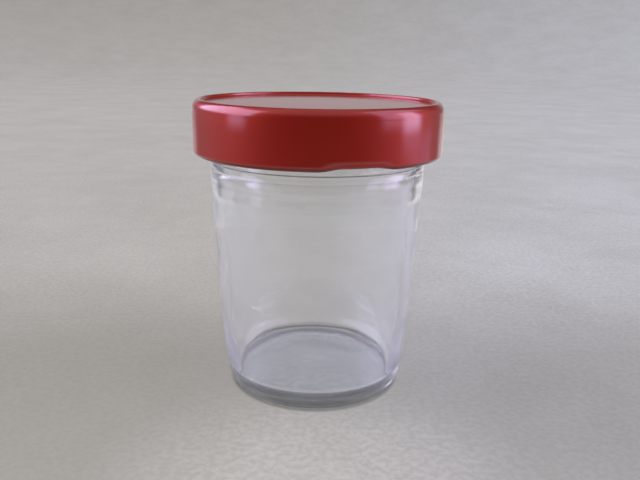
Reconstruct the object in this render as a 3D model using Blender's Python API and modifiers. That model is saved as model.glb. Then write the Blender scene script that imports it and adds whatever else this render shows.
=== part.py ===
"""A small tumbler-shaped glass jar with its lacquered metal twist-off cap on.

Metres, +Z up. The origin is the centre of the ring that the jar stands on. The jar is one
turned piece of glass with three thread ridges on its finish. The cap is a drawn metal shell
with a curled hem that is crimped inwards into three lugs, and a ring of sealing compound
lies between the cap's panel and the jar's lip.
"""

import math

import bmesh
import bpy

MM = 0.001
CLEARANCE = 0.3 * MM
SEGMENTS = 60
MERGE_DISTANCE = 1e-6

# Glass: the foot and the base.
FOOT_RADIUS = 16.9 * MM
FOOT_WIDTH = 1.7 * MM
HEEL_RADIUS = 19.1 * MM
HEEL_HEIGHT = 4.2 * MM
HEEL_SEAM_HEIGHT = 4.6 * MM
HEEL_SEAM_RADIUS = 19.15 * MM
PUSH_UP_HEIGHT = 0.6 * MM
PUSH_UP_RINGS = 4
FLOOR_HEIGHT = 3.4 * MM
FLOOR_EDGE_RISE = 0.35 * MM
FLOOR_MID_SHARE = 0.55
FLOOR_MID_RISE = 0.1 * MM
FLOOR_FILLET = 0.3 * MM

# Glass: the tapered body and the upright neck above it.
WALL = 2.1 * MM
BODY_START_HEIGHT = 5.0 * MM
BODY_START_RADIUS = 19.45 * MM
BODY_END_HEIGHT = 41.0 * MM
BODY_END_RADIUS = 21.62 * MM
BODY_BULGE = 0.68
BODY_BANDS = 6
BODY_BAND_SPREAD = 1.4
NECK_HEIGHT = 42.0 * MM
NECK_RADIUS = 21.92 * MM

# Glass: the finish that the cap grips.
BEAD_BOTTOM = 48.3 * MM
BEAD_TOP = 51.2 * MM
BEAD_RADIUS = 22.4 * MM
BEAD_ROUND = 0.45 * MM
BEAD_EDGE = 0.1 * MM
FINISH_RADIUS = 22.1 * MM
BORE_RADIUS = 19.9 * MM
LIP_HEIGHT = 58.25 * MM
LIP_ROUND = 0.7 * MM
THREAD_COUNT = 3
THREAD_SWEEP = math.radians(96)
THREAD_POINTS = 17
THREAD_SIZE = 1.1 * MM
THREAD_RADIUS = 22.3 * MM
THREAD_HIGH = 55.6 * MM
THREAD_LOW = 53.7 * MM
THREAD_END_SIZE = 0.45
THREAD_TAPER = 0.125
THREAD_LEAD = 0.3

# Cap: the drawn shell.
CAP_RADIUS = 25.45 * MM
CAP_TOP = 60.45 * MM
CAP_BOTTOM = 49.7 * MM
CAP_METAL = 0.25 * MM
SHOULDER_ROUND = 1.2 * MM
SKIRT_DRAW_IN = 0.12 * MM
SKIRT_UPRIGHT_TOP = 55.5 * MM
SKIRT_DRAW_RINGS = 3
CREST_WIDTH = 0.15 * MM
PANEL_DROP = 0.65 * MM
PANEL_STEP_ROUND = 0.34 * MM
PANEL_CROWN = 0.1 * MM
PANEL_MID_SHARE = 0.6
CURL_ROUND = 0.8 * MM
CURL_TURN = math.radians(235)
CURL_STEPS = 7
SHARPEST_SMOOTH = math.radians(50)

# Cap: the lugs, where the curl is crimped upwards and its inner side is pushed under the thread.
LUG_COUNT = 3
FRONT = math.radians(-90)
LUG_CENTRE = FRONT + math.radians(18)
LUG_HALF_FLAT = math.radians(7)
LUG_HALF_WIDTH = math.radians(17.5)
LUG_DENT = 0.4 * MM
LUG_REACH = 1.1 * MM
LUG_LIFT = 0.45 * MM
LUG_TOP = 51.6 * MM
LUG_BEND = 0.6 * MM

# Sealing compound.
LINER_INNER = 19.4 * MM
LINER_OUTER = 23.0 * MM
LINER_BOTTOM = LIP_HEIGHT + CLEARANCE
LINER_TOP = CAP_TOP - PANEL_DROP - CAP_METAL - CLEARANCE
LINER_ROUND = 0.2 * MM


def clear_scene():
    for item in list(bpy.data.objects):
        bpy.data.objects.remove(item, do_unlink=True)


def new_collection(name, hidden=False):
    collection = bpy.data.collections.new(name)
    bpy.context.scene.collection.children.link(collection)
    collection.hide_render = hidden
    return collection


def new_material(name, colour, roughness, metallic=0.0, transmission=0.0):
    material = bpy.data.materials.new(name)
    material.use_nodes = True
    shader = material.node_tree.nodes["Principled BSDF"]
    shader.inputs["Base Color"].default_value = (*colour, 1.0)
    shader.inputs["Roughness"].default_value = roughness
    shader.inputs["Metallic"].default_value = metallic
    shader.inputs["Transmission Weight"].default_value = transmission
    return material


def arc(centre, radii, start_degrees, end_degrees, steps):
    """Points on an ellipse in the profile's plane, from one angle to the other."""
    points = []
    for i in range(steps + 1):
        angle = math.radians(start_degrees + (end_degrees - start_degrees) * i / steps)
        points.append((centre[0] + radii[0] * math.cos(angle), centre[1] + radii[1] * math.sin(angle)))
    return points


def smoothstep(value):
    value = min(max(value, 0.0), 1.0)
    return value * value * (3 - 2 * value)


def body_radius(height):
    """Outer radius of the tapered body, which swells a little between its ends."""
    share = max(height - BODY_START_HEIGHT, 0.0) / (BODY_END_HEIGHT - BODY_START_HEIGHT)
    return BODY_START_RADIUS + (BODY_END_RADIUS - BODY_START_RADIUS) * share**BODY_BULGE


def body_heights():
    """Heights of the body's rings, closer together near the heel, where it curves most."""
    span = BODY_END_HEIGHT - BODY_START_HEIGHT
    return [BODY_START_HEIGHT + span * (i / BODY_BANDS) ** BODY_BAND_SPREAD for i in range(BODY_BANDS + 1)]


def glass_inside():
    """The jar's inside, from the middle of its floor up to the lip."""
    floor_edge = FLOOR_HEIGHT + FLOOR_EDGE_RISE
    fillet_top = floor_edge + FLOOR_FILLET
    wall_foot = body_radius(fillet_top) - WALL
    corner = (wall_foot - FLOOR_FILLET, fillet_top)
    points = [(0.0, FLOOR_HEIGHT), (corner[0] * FLOOR_MID_SHARE, FLOOR_HEIGHT + FLOOR_MID_RISE)]
    points += arc(corner, (FLOOR_FILLET, FLOOR_FILLET), -90, 0, 2)
    points += [(body_radius(height) - WALL, height) for height in body_heights()[1:-1]]
    points += [(BORE_RADIUS, NECK_HEIGHT)]
    points += arc((BORE_RADIUS + LIP_ROUND, LIP_HEIGHT - LIP_ROUND), (LIP_ROUND, LIP_ROUND), 180, 90, 3)
    return points


def glass_finish():
    """The outside of the finish, from the lip down to the bead's lower edge."""
    points = arc((FINISH_RADIUS - LIP_ROUND, LIP_HEIGHT - LIP_ROUND), (LIP_ROUND, LIP_ROUND), 90, 0, 3)
    points += [(FINISH_RADIUS, BEAD_TOP + BEAD_EDGE)]
    centre = BEAD_RADIUS - BEAD_ROUND
    points += arc((centre, BEAD_TOP - BEAD_ROUND), (BEAD_ROUND, BEAD_ROUND), 60, 0, 2)
    points += arc((centre, BEAD_BOTTOM + BEAD_ROUND), (BEAD_ROUND, BEAD_ROUND), 0, -75, 3)
    return points


def glass_outside():
    """The outside from the neck down to the middle of the underside."""
    points = [(NECK_RADIUS, BEAD_BOTTOM - BEAD_EDGE), (NECK_RADIUS, NECK_HEIGHT)]
    points += [(body_radius(height), height) for height in reversed(body_heights())]
    points += [(HEEL_SEAM_RADIUS, HEEL_SEAM_HEIGHT)]
    heel_size = (HEEL_RADIUS - FOOT_RADIUS, HEEL_HEIGHT)
    points += arc((FOOT_RADIUS, HEEL_HEIGHT), heel_size, 0, -90, 5)
    inner_edge = FOOT_RADIUS - FOOT_WIDTH
    for i in range(PUSH_UP_RINGS + 1):
        share = 1 - i / PUSH_UP_RINGS
        points += [(inner_edge * share, PUSH_UP_HEIGHT * (1 - share**2) ** 2)]
    return points


def skirt_rings():
    """The skirt's rings from the shoulder down, drawn in a little towards the shoulder."""
    shoulder = CAP_TOP - SHOULDER_ROUND
    rings = []
    for i in range(1, SKIRT_DRAW_RINGS + 1):
        share = 1 - i / SKIRT_DRAW_RINGS
        height = SKIRT_UPRIGHT_TOP + (shoulder - SKIRT_UPRIGHT_TOP) * share
        rings.append((CAP_RADIUS - SKIRT_DRAW_IN * share**2, height))
    return rings + [(CAP_RADIUS, LUG_TOP), (CAP_RADIUS, LUG_TOP - LUG_BEND)]


def cap_surface():
    """The cap's outer face, from the middle of the panel down the skirt and round the curl."""
    panel_height = CAP_TOP - PANEL_DROP
    crest_outer = CAP_RADIUS - SKIRT_DRAW_IN - SHOULDER_ROUND
    crest_inner = crest_outer - CREST_WIDTH
    step_edge = crest_inner - 2 * PANEL_STEP_ROUND
    rounding = (PANEL_STEP_ROUND, PANEL_STEP_ROUND)
    points = [(0.0, panel_height + PANEL_CROWN)]
    points += [(step_edge * PANEL_MID_SHARE, panel_height + PANEL_CROWN / 2)]
    points += arc((step_edge, panel_height + PANEL_STEP_ROUND), rounding, -90, 0, 2)
    points += arc((crest_inner, CAP_TOP - PANEL_STEP_ROUND), rounding, 180, 90, 2)
    points += arc((crest_outer, CAP_TOP - SHOULDER_ROUND), (SHOULDER_ROUND, SHOULDER_ROUND), 90, 0, 4)
    points += skirt_rings()
    curl_centre = (CAP_RADIUS - CURL_ROUND, CAP_BOTTOM + CURL_ROUND)
    points += arc(curl_centre, (CURL_ROUND, CURL_ROUND), 0, -math.degrees(CURL_TURN), CURL_STEPS)
    return points


def liner_section():
    """The sealing ring's closed section, down its outer side first."""
    size = (LINER_ROUND, LINER_ROUND)
    outer = LINER_OUTER - LINER_ROUND
    inner = LINER_INNER + LINER_ROUND
    points = arc((outer, LINER_TOP - LINER_ROUND), size, 90, 0, 1)
    points += arc((outer, LINER_BOTTOM + LINER_ROUND), size, 0, -90, 1)
    points += arc((inner, LINER_BOTTOM + LINER_ROUND), size, -90, -180, 1)
    points += arc((inner, LINER_TOP - LINER_ROUND), size, 180, 90, 1)
    return points


def turned(name, profile, closed, collection):
    """An object that turns a profile of (radius, height) points about the Z axis."""
    count = len(profile)
    edges = [(i, i + 1) for i in range(count - 1)]
    if closed:
        edges.append((count - 1, 0))
    mesh = bpy.data.meshes.new(name)
    mesh.from_pydata([(radius, 0.0, height) for radius, height in profile], edges, [])
    item = bpy.data.objects.new(name, mesh)
    collection.objects.link(item)
    screw = item.modifiers.new("Turn", "SCREW")
    screw.axis = "Z"
    screw.angle = math.tau
    screw.steps = SEGMENTS
    screw.render_steps = SEGMENTS
    screw.use_merge_vertices = True
    screw.merge_threshold = MERGE_DISTANCE
    screw.use_smooth_shade = True
    return item


def as_mesh(item):
    """Replaces an object by the mesh that its modifiers or its curve settings make."""
    bpy.context.view_layer.update()
    graph = bpy.context.evaluated_depsgraph_get()
    mesh = bpy.data.meshes.new_from_object(item.evaluated_get(graph))
    shape = bmesh.new()
    shape.from_mesh(mesh)
    bmesh.ops.remove_doubles(shape, verts=shape.verts, dist=MERGE_DISTANCE)
    bmesh.ops.recalc_face_normals(shape, faces=shape.faces)
    shape.to_mesh(mesh)
    shape.free()
    name = item.name
    collection = item.users_collection[0]
    bpy.data.objects.remove(item, do_unlink=True)
    made = bpy.data.objects.new(name, mesh)
    collection.objects.link(made)
    return made


def thread_ridge(index, collection):
    """One right-hand thread ridge: a round rod along a sloping arc, thinner at its ends."""
    curve = bpy.data.curves.new(f"thread_{index}", "CURVE")
    curve.dimensions = "3D"
    curve.bevel_depth = THREAD_SIZE
    curve.bevel_resolution = 1
    curve.use_fill_caps = True
    spline = curve.splines.new("POLY")
    spline.points.add(THREAD_POINTS - 1)
    start = LUG_CENTRE - THREAD_SWEEP * THREAD_LEAD + math.tau * index / THREAD_COUNT
    for i, point in enumerate(spline.points):
        share = i / (THREAD_POINTS - 1)
        angle = start + THREAD_SWEEP * share
        height = THREAD_LOW + (THREAD_HIGH - THREAD_LOW) * share
        point.co = (THREAD_RADIUS * math.cos(angle), THREAD_RADIUS * math.sin(angle), height, 1.0)
        fullness = smoothstep(min(share, 1 - share) / THREAD_TAPER)
        point.radius = THREAD_END_SIZE + (1 - THREAD_END_SIZE) * fullness
    item = bpy.data.objects.new(curve.name, curve)
    collection.objects.link(item)
    ridge = as_mesh(item)
    ridge.hide_render = True
    ridge.display_type = "WIRE"
    return ridge


def make_jar(collection, helpers):
    profile = glass_inside() + glass_finish() + glass_outside()
    jar = turned("jar", profile, False, collection)
    for index in range(THREAD_COUNT):
        union = jar.modifiers.new(f"Thread {index}", "BOOLEAN")
        union.operation = "UNION"
        union.solver = "EXACT"
        union.object = thread_ridge(index, helpers)
    jar.data.materials.append(new_material("clear_glass", (0.86, 0.9, 0.89), 0.03, transmission=1.0))


def lug_share(angle):
    """How far the hem is crimped at this angle, from 0 between the lugs to 1 on one."""
    pitch = math.tau / LUG_COUNT
    offset = abs((angle - LUG_CENTRE + pitch / 2) % pitch - pitch / 2)
    return smoothstep((LUG_HALF_WIDTH - offset) / (LUG_HALF_WIDTH - LUG_HALF_FLAT))


def crimp_lugs(mesh):
    """Presses the curl up at each lug and its inner side inwards, and the skirt follows a little."""
    curl_inside = CAP_RADIUS - CURL_ROUND
    for vertex in mesh.vertices:
        point = vertex.co
        if point.z > LUG_TOP:
            continue
        radius = math.hypot(point.x, point.y)
        depth = smoothstep((LUG_TOP - point.z) / (LUG_TOP - CAP_BOTTOM))
        if radius < curl_inside:
            depth = 1.0
        share = depth * lug_share(math.atan2(point.y, point.x))
        inwards = smoothstep((CAP_RADIUS - radius) / (2 * CURL_ROUND))
        scale = (radius - (LUG_DENT + (LUG_REACH - LUG_DENT) * inwards) * share) / radius
        point.x *= scale
        point.y *= scale
        point.z += LUG_LIFT * share


def make_cap(collection):
    cap = as_mesh(turned("cap", cap_surface(), False, collection))
    crimp_lugs(cap.data)
    shell = cap.modifiers.new("Metal", "SOLIDIFY")
    shell.thickness = CAP_METAL
    shell.offset = -1.0
    shell.use_even_offset = True
    cap.data.shade_smooth()
    cap.data.set_sharp_from_angle(angle=SHARPEST_SMOOTH)
    cap.data.materials.append(new_material("red_lacquer", (0.42, 0.02, 0.015), 0.22))


def make_liner(collection):
    liner = turned("cap_liner", liner_section(), True, collection)
    liner.data.materials.append(new_material("sealing_compound", (0.75, 0.73, 0.68), 0.55))


def main():
    clear_scene()
    parts = new_collection("glass_jar")
    helpers = new_collection("thread_helpers", hidden=True)
    make_jar(parts, helpers)
    make_cap(parts)
    make_liner(parts)


main()
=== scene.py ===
"""Looks of a small empty glass jar that stands closed by its red lacquered twist-off cap.

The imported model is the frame. The glass, the cap and the sealing compound are modelled again
here on the same sizes, with finer surfaces: thread ridges, mould seams, a knurled foot, uneven
glass and a crimped hem. Metres, +Z up, with the side that the photograph shows towards -Y.
"""

import logging
import math
from collections.abc import Callable, Iterator, Mapping, Sequence
from contextlib import contextmanager
from dataclasses import dataclass, field
from enum import Enum
from typing import Any

import bpy
from mathutils import Matrix, Vector


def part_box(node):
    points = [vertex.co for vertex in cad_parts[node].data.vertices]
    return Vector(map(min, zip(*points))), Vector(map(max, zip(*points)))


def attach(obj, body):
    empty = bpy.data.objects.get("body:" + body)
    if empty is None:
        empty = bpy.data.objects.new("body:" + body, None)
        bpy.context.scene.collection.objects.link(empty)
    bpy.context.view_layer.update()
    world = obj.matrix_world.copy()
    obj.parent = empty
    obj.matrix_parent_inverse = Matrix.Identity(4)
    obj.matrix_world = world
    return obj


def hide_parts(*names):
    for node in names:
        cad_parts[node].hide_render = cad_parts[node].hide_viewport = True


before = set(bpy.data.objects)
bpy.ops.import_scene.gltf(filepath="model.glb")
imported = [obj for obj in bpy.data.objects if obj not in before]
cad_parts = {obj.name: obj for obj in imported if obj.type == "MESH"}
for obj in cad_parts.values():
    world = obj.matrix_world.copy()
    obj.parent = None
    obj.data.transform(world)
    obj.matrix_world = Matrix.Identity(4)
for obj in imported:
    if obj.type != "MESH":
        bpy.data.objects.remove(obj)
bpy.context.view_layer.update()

LOG = logging.getLogger("glass_jar")
MM = 0.001
MERGE_DISTANCE = 0.001 * MM
BODY = "root"

# The Mix node's colour sockets go by number, because its other sockets have the same names
MIX_SHARE, MIX_FIRST, MIX_SECOND, MIX_RESULT = 0, 6, 7, 2

Point = tuple[float, float]
Limits = tuple[float, float]
Triple = tuple[float, float, float]


class Slot(Enum):
    """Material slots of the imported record."""

    CLEAR_GLASS = "clear_glass"
    RED_LACQUER = "red_lacquer"
    SEALING_COMPOUND = "sealing_compound"


class Side(Enum):
    """Side of the jar, as the photograph shows it, by the sign of its X."""

    LEFT = -1
    RIGHT = 1


def arc(centre: Point, radii: Point, start: float, end: float, steps: int) -> list[Point]:
    """Works out points on an upright ellipse in the plane of a profile.

    Args:
        centre: Radius and height of the middle of the ellipse.
        radii: Half its width and half its height.
        start: Angle of the first point in degrees, counted from outwards towards up.
        end: Angle of the last point in degrees.
        steps: Number of spans between the points.

    Returns:
        Points as (radius, height), one more than the spans.
    """
    angles = [math.radians(start + (end - start) * i / steps) for i in range(steps + 1)]
    return [(centre[0] + radii[0] * math.cos(a), centre[1] + radii[1] * math.sin(a)) for a in angles]


def spaced(start: float, end: float, steps: int) -> list[float]:
    """Divides a stretch evenly.

    Args:
        start: First value.
        end: Last value.
        steps: Number of spans.

    Returns:
        The values, both ends among them.
    """
    return [start + (end - start) * i / steps for i in range(steps + 1)]


def smoothstep(value: float) -> float:
    """Eases a value from 0 to 1.

    Args:
        value: Any number; below 0 counts as 0 and above 1 as 1.

    Returns:
        The eased value.
    """
    share = min(max(value, 0.0), 1.0)
    return share * share * (3.0 - 2.0 * share)


def azimuth(place: Vector) -> float:
    """Returns the angle of a place about the Z axis, from +X, in radians."""
    return math.atan2(place.y, place.x)


def radius_of(place: Vector) -> float:
    """Returns the distance of a place from the Z axis."""
    return math.hypot(place.x, place.y)


class Piece:
    """A mesh object under construction, shaped in edit mode and kept at the origin."""

    def __init__(self, item: bpy.types.Object) -> None:
        """Takes over an object.

        Args:
            item: A mesh object that is the active one.
        """
        self.item = item

    @classmethod
    def added(cls, name: str, add: Callable[..., Any], **settings: Any) -> "Piece":
        """Adds a primitive and puts its place into its mesh.

        Args:
            name: Name of the object.
            add: The operator that adds the primitive.
            settings: What the operator is called with.

        Returns:
            The new piece.
        """
        bpy.ops.object.select_all(action="DESELECT")
        add(**settings)
        item = bpy.context.object
        item.name = name
        item.data.name = name
        bpy.ops.object.transform_apply(location=True, rotation=True, scale=True)
        return cls(item)

    @classmethod
    def turned(cls, name: str, profile: Sequence[Point], steps: int) -> "Piece":
        """Turns a profile about the Z axis, as on a lathe.

        Args:
            name: Name of the object.
            profile: Points as (radius, height), in order along the surface.
            steps: Number of spans round the full turn.

        Returns:
            The new piece, with its faces pointing outwards.
        """
        radius, height = profile[0]
        piece = cls.added(
            name, bpy.ops.mesh.primitive_plane_add, size=MM, location=(radius, 0.0, height)
        )
        with piece.editing():
            bpy.ops.mesh.merge(type="CENTER")
            for (r0, z0), (r1, z1) in zip(profile, profile[1:]):
                bpy.ops.mesh.extrude_region_move(
                    TRANSFORM_OT_translate={"value": (r1 - r0, 0.0, z1 - z0)}
                )
            bpy.ops.mesh.select_all(action="SELECT")
            bpy.ops.mesh.spin(
                steps=steps, angle=math.tau, center=(0.0, 0.0, 0.0), axis=(0.0, 0.0, 1.0)
            )
            bpy.ops.mesh.select_all(action="SELECT")
            bpy.ops.mesh.remove_doubles(threshold=MERGE_DISTANCE)
            bpy.ops.mesh.normals_make_consistent(inside=False)
        return piece

    @contextmanager
    def editing(self) -> Iterator[None]:
        """Opens the piece in edit mode with everything selected, and closes it after."""
        bpy.ops.object.select_all(action="DESELECT")
        self.item.select_set(True)
        bpy.context.view_layer.objects.active = self.item
        bpy.ops.object.mode_set(mode="EDIT")
        bpy.ops.mesh.select_all(action="SELECT")
        yield
        bpy.ops.object.mode_set(mode="OBJECT")

    def shift(self, wanted: Callable[[Vector], bool], offset: Triple) -> int:
        """Moves some vertices together.

        Args:
            wanted: Says from a vertex's place whether it moves.
            offset: How far they move.

        Returns:
            How many vertices moved.
        """
        with self.editing():
            bpy.ops.mesh.select_mode(type="VERT")
            bpy.ops.mesh.select_all(action="DESELECT")
            bpy.ops.object.mode_set(mode="OBJECT")
            vertices = self.item.data.vertices
            for vertex in vertices:
                vertex.select = wanted(vertex.co)
            count = sum(vertex.select for vertex in vertices)
            bpy.ops.object.mode_set(mode="EDIT")
            bpy.ops.transform.translate(value=offset)
        return count

    def reshape(self, moved: Callable[[Vector], Vector]) -> None:
        """Moves every vertex by a rule.

        Args:
            moved: Gives the new place of a vertex from its old one.
        """
        for vertex in self.item.data.vertices:
            vertex.co = moved(vertex.co.copy())
        self.item.data.update()

    def weigh(self, name: str, weight: Callable[[Vector], float]) -> str:
        """Makes a vertex group that a modifier can follow.

        Args:
            name: Name of the group.
            weight: Gives the weight of a vertex from its place.

        Returns:
            The group's name.
        """
        group = self.item.vertex_groups.new(name=name)
        for vertex in self.item.data.vertices:
            share = weight(vertex.co)
            if share > 0.0:
                group.add([vertex.index], share, "REPLACE")
        return group.name

    def mark(self, name: str, value: Callable[[Vector], float]) -> None:
        """Stores a number on every vertex, which a material can read.

        Args:
            name: Name of the attribute.
            value: Gives a vertex's number from its place.
        """
        values = [value(vertex.co) for vertex in self.item.data.vertices]
        self.item.data.attributes.new(name, "FLOAT", "POINT").data.foreach_set("value", values)

    def modify(self, kind: str, **settings: Any) -> None:
        """Adds a modifier and applies it.

        Args:
            kind: The modifier's type.
            settings: Its properties by name.
        """
        modifier = self.item.modifiers.new(kind.title(), kind)
        for name, value in settings.items():
            setattr(modifier, name, value)
        bpy.context.view_layer.objects.active = self.item
        bpy.ops.object.modifier_apply(modifier=modifier.name)

    def smooth(self, angle: float) -> None:
        """Shades the piece smooth, with creases kept.

        Args:
            angle: The flattest crease that stays sharp, in radians.
        """
        bpy.ops.object.select_all(action="DESELECT")
        self.item.select_set(True)
        bpy.context.view_layer.objects.active = self.item
        bpy.ops.object.shade_smooth_by_angle(angle=angle)

    def dress(self, *materials: bpy.types.Material) -> None:
        """Gives the piece its materials.

        Args:
            materials: The materials, in the order of its slots.
        """
        self.item.data.materials.clear()
        for material in materials:
            self.item.data.materials.append(material)

    def stand_for(self, node: str, slot: Slot) -> None:
        """Puts the piece in the place of a CAD node.

        Args:
            node: The node that it replaces.
            slot: The record's slot for the piece; not used.
        """
        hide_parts(node)
        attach(self.item, BODY)


class Wire:
    """An output socket that Python arithmetic works on, one Math node for each operator."""

    def __init__(self, sheet: "NodeSheet", socket: bpy.types.NodeSocket) -> None:
        """Wraps a socket.

        Args:
            sheet: The node tree that the socket belongs to.
            socket: The output socket.
        """
        self.sheet = sheet
        self.socket = socket

    def output(self, name: str) -> "Wire":
        """Returns another output of the same node."""
        return Wire(self.sheet, self.socket.node.outputs[name])

    def maths(self, operation: str, *terms: "Wire | float") -> "Wire":
        """Adds a Math node.

        Args:
            operation: What the node works out.
            terms: Its inputs in order.

        Returns:
            The node's result.
        """
        return self.sheet.node("ShaderNodeMath", {"operation": operation}, dict(enumerate(terms)))

    def __add__(self, other: "Wire | float") -> "Wire":
        """Returns this plus other."""
        return self.maths("ADD", self, other)

    def __radd__(self, other: float) -> "Wire":
        """Returns other plus this."""
        return self.maths("ADD", other, self)

    def __sub__(self, other: "Wire | float") -> "Wire":
        """Returns this minus other."""
        return self.maths("SUBTRACT", self, other)

    def __rsub__(self, other: float) -> "Wire":
        """Returns other minus this."""
        return self.maths("SUBTRACT", other, self)

    def __mul__(self, other: "Wire | float") -> "Wire":
        """Returns this times other."""
        return self.maths("MULTIPLY", self, other)

    def __rmul__(self, other: float) -> "Wire":
        """Returns other times this."""
        return self.maths("MULTIPLY", other, self)

    def __truediv__(self, other: "Wire | float") -> "Wire":
        """Returns this divided by other."""
        return self.maths("DIVIDE", self, other)

    def __abs__(self) -> "Wire":
        """Returns this without its sign."""
        return self.maths("ABSOLUTE", self)

    def eased(self, low: float, high: float) -> "Wire":
        """Eases the value from 0 at one level to 1 at another.

        Args:
            low: The level that gives 0.
            high: The level that gives 1.

        Returns:
            The eased value.
        """
        return self.sheet.node(
            "ShaderNodeMapRange",
            {"interpolation_type": "SMOOTHSTEP"},
            {"Value": self, "From Min": low, "From Max": high},
        )


Value = Wire | float | Sequence[float]


@dataclass(frozen=True)
class Clouds:
    """A cloudy pattern: the rough size of its clouds in metres, and how many finer layers it has.

    Strength is that of each layer beside the one before. Stretch multiplies the places that the
    pattern is read from.
    """

    size: float
    layers: float
    strength: float = 0.5
    stretch: Triple | None = None


class NodeSheet:
    """The node tree of a material or of the world, filled in by expressions."""

    def __init__(self, tree: bpy.types.NodeTree) -> None:
        """Empties a node tree.

        Args:
            tree: The node tree to fill.
        """
        self.tree = tree
        self.tree.nodes.clear()

    @classmethod
    def of_material(cls, name: str) -> tuple[bpy.types.Material, "NodeSheet"]:
        """Makes a material.

        Args:
            name: The material's name.

        Returns:
            The material and its empty sheet.
        """
        material = bpy.data.materials.new(name)
        material.use_nodes = True
        return material, cls(material.node_tree)

    def node(
        self,
        kind: str,
        settings: Mapping[str, Any],
        sockets: Mapping[str | int, Value],
        output: str | int = 0,
    ) -> Wire:
        """Adds a node.

        Args:
            kind: The node's type.
            settings: Its properties by name, set before its sockets.
            sockets: Values or links of its inputs, by name or number.
            output: The output that is wanted, by name or number.

        Returns:
            That output.
        """
        node = self.tree.nodes.new(kind)
        for name, value in settings.items():
            setattr(node, name, value)
        for key, value in sockets.items():
            if isinstance(value, Wire):
                self.tree.links.new(value.socket, node.inputs[key])
            else:
                node.inputs[key].default_value = value
        return Wire(self, node.outputs[output])

    def place(self) -> Wire:
        """Returns the object coordinates, in metres."""
        return self.node("ShaderNodeTexCoord", {}, {}, "Object")

    def attribute(self, name: str) -> Wire:
        """Returns a number that the mesh stores on its vertices."""
        return self.node("ShaderNodeAttribute", {"attribute_name": name}, {}, "Fac")

    def distance(self, aside: Wire, ahead: Wire) -> Wire:
        """Returns the length of a way that goes so far aside and so far ahead."""
        squares = aside * aside + ahead * ahead
        return squares.maths("SQRT", squares)

    def split(self, vector: Wire) -> tuple[Wire, Wire, Wire]:
        """Returns the three parts of a vector."""
        along = self.node("ShaderNodeSeparateXYZ", {}, {0: vector}, "X")
        return along, along.output("Y"), along.output("Z")

    def noise(self, place: Wire, clouds: Clouds) -> Wire:
        """Adds a cloudy pattern.

        Args:
            place: Where the pattern is read.
            clouds: What the pattern is like.

        Returns:
            The pattern, from 0 to 1.
        """
        if clouds.stretch is not None:
            place = self.stretched(place, clouds.stretch)
        sockets = {
            "Vector": place,
            "Scale": 1.0 / clouds.size,
            "Detail": clouds.layers,
            "Roughness": clouds.strength,
        }
        return self.node("ShaderNodeTexNoise", {}, sockets)

    def stretched(self, vector: Wire, scale: Triple) -> Wire:
        """Returns a place or a colour with each of its three parts multiplied."""
        settings = {"operation": "MULTIPLY"}
        return self.node("ShaderNodeVectorMath", settings, {0: vector, 1: scale})

    def blend(self, share: Value, first: Value, second: Value) -> Wire:
        """Mixes two colours.

        Args:
            share: How much of the second colour, from 0 to 1.
            first: The first colour.
            second: The second colour.

        Returns:
            The mixed colour.
        """
        sockets = {MIX_SHARE: share, MIX_FIRST: opaque(first), MIX_SECOND: opaque(second)}
        return self.node("ShaderNodeMix", {"data_type": "RGBA"}, sockets, MIX_RESULT)

    def bump(self, height: Wire, distance: float, finer: Wire | None = None) -> Wire:
        """Turns a height into a normal.

        Args:
            height: The height, from 0 to 1.
            distance: What a height of 1 stands for, in metres.
            finer: The normal of a finer relief on top of it, if any.

        Returns:
            The normal.
        """
        sockets: dict[str | int, Value] = {"Distance": distance, "Height": height}
        if finer is not None:
            sockets["Normal"] = finer
        return self.node("ShaderNodeBump", {}, sockets)

    def principled(self, sockets: Mapping[str | int, Value]) -> Wire:
        """Returns a Principled shader with these inputs."""
        return self.node("ShaderNodeBsdfPrincipled", {}, sockets)

    def clear(self, colour: Triple) -> Wire:
        """Returns a shader that lets rays straight through and tints them."""
        return self.node("ShaderNodeBsdfTransparent", {}, {"Color": opaque(colour)})

    def ray(self, fact: str) -> Wire:
        """Returns what the Light Path node tells of the ray."""
        return self.node("ShaderNodeLightPath", {}, {}, fact)

    def choose(self, share: Wire, first: Wire, second: Wire) -> Wire:
        """Returns a shader that goes over from the first to the second with the share."""
        return self.node("ShaderNodeMixShader", {}, {0: share, 1: first, 2: second})

    def finish(self, surface: Wire, volume: Wire | None = None) -> None:
        """Connects the material's output.

        Args:
            surface: The surface shader.
            volume: The shader of what fills the piece, if any.
        """
        out = self.tree.nodes.new("ShaderNodeOutputMaterial")
        self.tree.links.new(surface.socket, out.inputs["Surface"])
        if volume is not None:
            self.tree.links.new(volume.socket, out.inputs["Volume"])


def opaque(colour: Value) -> Value:
    """Returns a colour with an alpha of 1, or the link that it is."""
    return colour if isinstance(colour, Wire) else (*colour, 1.0)


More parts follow.
